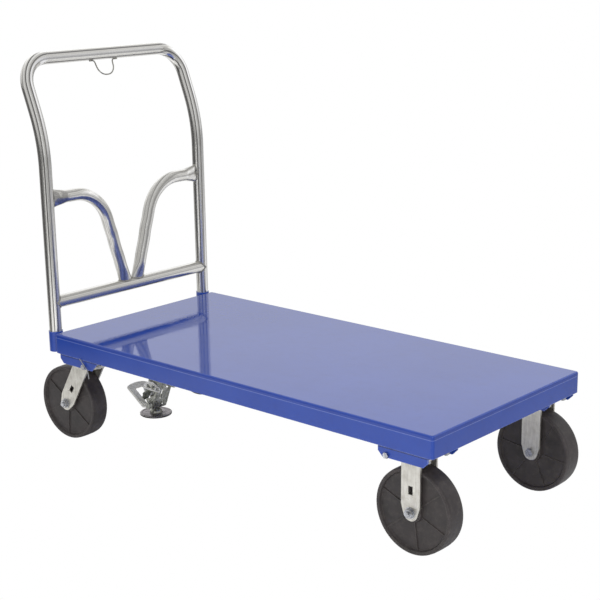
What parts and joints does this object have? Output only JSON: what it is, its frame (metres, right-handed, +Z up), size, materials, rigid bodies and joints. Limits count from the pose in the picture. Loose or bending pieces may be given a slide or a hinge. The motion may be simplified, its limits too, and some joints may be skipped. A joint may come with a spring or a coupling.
{
  "type": "flatbed platform truck",
  "caption": "Flatbed platform truck: folded steel deck, braced pipe push handle in sockets, rigid and swivel casters, and a foot-operated floor lock.",
  "frame": {"origin": "on the floor under the middle of the overall length and width", "axes": "+X along the deck from the handle end to the free end, +Y to the far long side, +Z up"},
  "size_m": [1.3894, 0.597, 1.0314],
  "materials": {
    "blue_enamel": "gloss",
    "bright_tube": "polished",
    "zinc_wire": "satin",
    "zinc_plate": "satin",
    "bright_fasteners": "bright",
    "tyre_rubber": "matte",
    "wheel_core": "semi-matte",
    "lock_zinc": "weathered",
    "lock_dark": "satin",
    "foot_rubber": "matte"
  },
  "bodies": {
    "chassis": {"caster_channel_rigid_far": "blue_enamel", "caster_channel_rigid_near": "blue_enamel", "caster_channel_swivel_far": "blue_enamel", "caster_channel_swivel_near": "blue_enamel", "cross_channel_free_end": "blue_enamel", "cross_channel_handle_end": "blue_enamel", "deck_pan": "blue_enamel", "deck_stiffeners": "blue_enamel", "handle_socket_far": "blue_enamel", "handle_socket_near": "blue_enamel", "keeper_bolts": "bright_fasteners", "keeper_clip": "zinc_wire", "keeper_nuts": "bright_fasteners", "kingpins": "bright_fasteners", "lock_housing": "lock_zinc", "lock_pins": "lock_zinc", "lock_spacer": "lock_zinc", "lock_spring": "zinc_wire", "plate_bolts": "bright_fasteners", "plate_nuts": "bright_fasteners", "rigid_axle_bolts": "bright_fasteners", "rigid_axle_nuts": "bright_fasteners", "rigid_fork_far": "zinc_plate", "rigid_fork_near": "zinc_plate", "rigid_spanners": "bright_fasteners", "swivel_balls": "bright_fasteners", "swivel_plate_far": "zinc_plate", "swivel_plate_near": "zinc_plate"},
    "handle": {"handle_tube": "bright_tube", "handle_crossbar": "bright_tube", "brace_near": "bright_tube", "brace_far": "bright_tube", "bail_hook": "zinc_wire"},
    "lock_foot": {"lock_plunger": "lock_zinc", "lock_cross_pin": "lock_zinc", "lock_foot_disc": "lock_zinc", "lock_foot_pad": "foot_rubber"},
    "lock_pedal": {"lock_pedal": "lock_zinc"},
    "lock_release": {"lock_yoke": "zinc_plate", "lock_toe_plate": "lock_dark"},
    "swivel_near": {"swivel_fork_near": "zinc_plate", "swivel_axle_bolt_near": "bright_fasteners", "swivel_axle_nut_near": "bright_fasteners", "swivel_spanner_near": "bright_fasteners"},
    "wheel_rigid_near": {"tyre_rigid_near": "tyre_rubber", "wheel_core_rigid_near": "wheel_core", "roller_bearing_rigid_near": "bright_fasteners"},
    "wheel_swivel_near": {"tyre_swivel_near": "tyre_rubber", "wheel_core_swivel_near": "wheel_core", "roller_bearing_swivel_near": "bright_fasteners"},
    "swivel_far": {"swivel_fork_far": "zinc_plate", "swivel_axle_bolt_far": "bright_fasteners", "swivel_axle_nut_far": "bright_fasteners", "swivel_spanner_far": "bright_fasteners"},
    "wheel_rigid_far": {"tyre_rigid_far": "tyre_rubber", "wheel_core_rigid_far": "wheel_core", "roller_bearing_rigid_far": "bright_fasteners"},
    "wheel_swivel_far": {"tyre_swivel_far": "tyre_rubber", "wheel_core_swivel_far": "wheel_core", "roller_bearing_swivel_far": "bright_fasteners"}
  },
  "joints": [
    {"name": "handle_lift", "type": "slide", "parent": "chassis", "child": "handle", "axis": [0, 0, 1], "range_m": [0, 0.045]},
    {"name": "swivel_near_turn", "type": "hinge", "parent": "chassis", "child": "swivel_near", "pos_m": [-0.5069, -0.2388, 0.2225], "axis": [0, 0, 1], "continuous": true},
    {"name": "swivel_far_turn", "type": "hinge", "parent": "chassis", "child": "swivel_far", "pos_m": [-0.5069, 0.2388, 0.2225], "axis": [0, 0, 1], "continuous": true},
    {"name": "wheel_rigid_near_roll", "type": "hinge", "parent": "chassis", "child": "wheel_rigid_near", "pos_m": [0.5931, -0.2388, 0.1016], "axis": [0, 1, 0], "continuous": true},
    {"name": "wheel_rigid_far_roll", "type": "hinge", "parent": "chassis", "child": "wheel_rigid_far", "pos_m": [0.5931, 0.2388, 0.1016], "axis": [0, 1, 0], "continuous": true},
    {"name": "wheel_swivel_near_roll", "type": "hinge", "parent": "swivel_near", "child": "wheel_swivel_near", "pos_m": [-0.5788, -0.24257, 0.1016], "axis": [-0.0523, 0.9986, 0], "continuous": true},
    {"name": "wheel_swivel_far_roll", "type": "hinge", "parent": "swivel_far", "child": "wheel_swivel_far", "pos_m": [-0.5789, 0.2388, 0.1016], "axis": [0, 1, 0], "continuous": true},
    {"name": "lock_pedal_press", "type": "hinge", "parent": "chassis", "child": "lock_pedal", "pos_m": [-0.5169, 0, 0.0435], "axis": [0, -1, 0], "range_deg": [0, 30], "stiffness_Nm_per_rad": 1, "springref_deg": -17.19},
    {"name": "lock_foot_drop", "type": "slide", "parent": "chassis", "child": "lock_foot", "axis": [0, 0, -1], "range_m": [0, 0.0095], "deforming": ["lock_spring"]},
    {"name": "lock_release_press", "type": "hinge", "parent": "chassis", "child": "lock_release", "pos_m": [-0.4959, 0, 0.1], "axis": [0, -1, 0], "range_deg": [0, 8], "stiffness_Nm_per_rad": 0.6, "springref_deg": -17.19}
  ],
  "couplings": [
    {"joint": "lock_foot_drop", "follows": "lock_pedal_press", "m_per_rad": 0.018144}
  ]
}
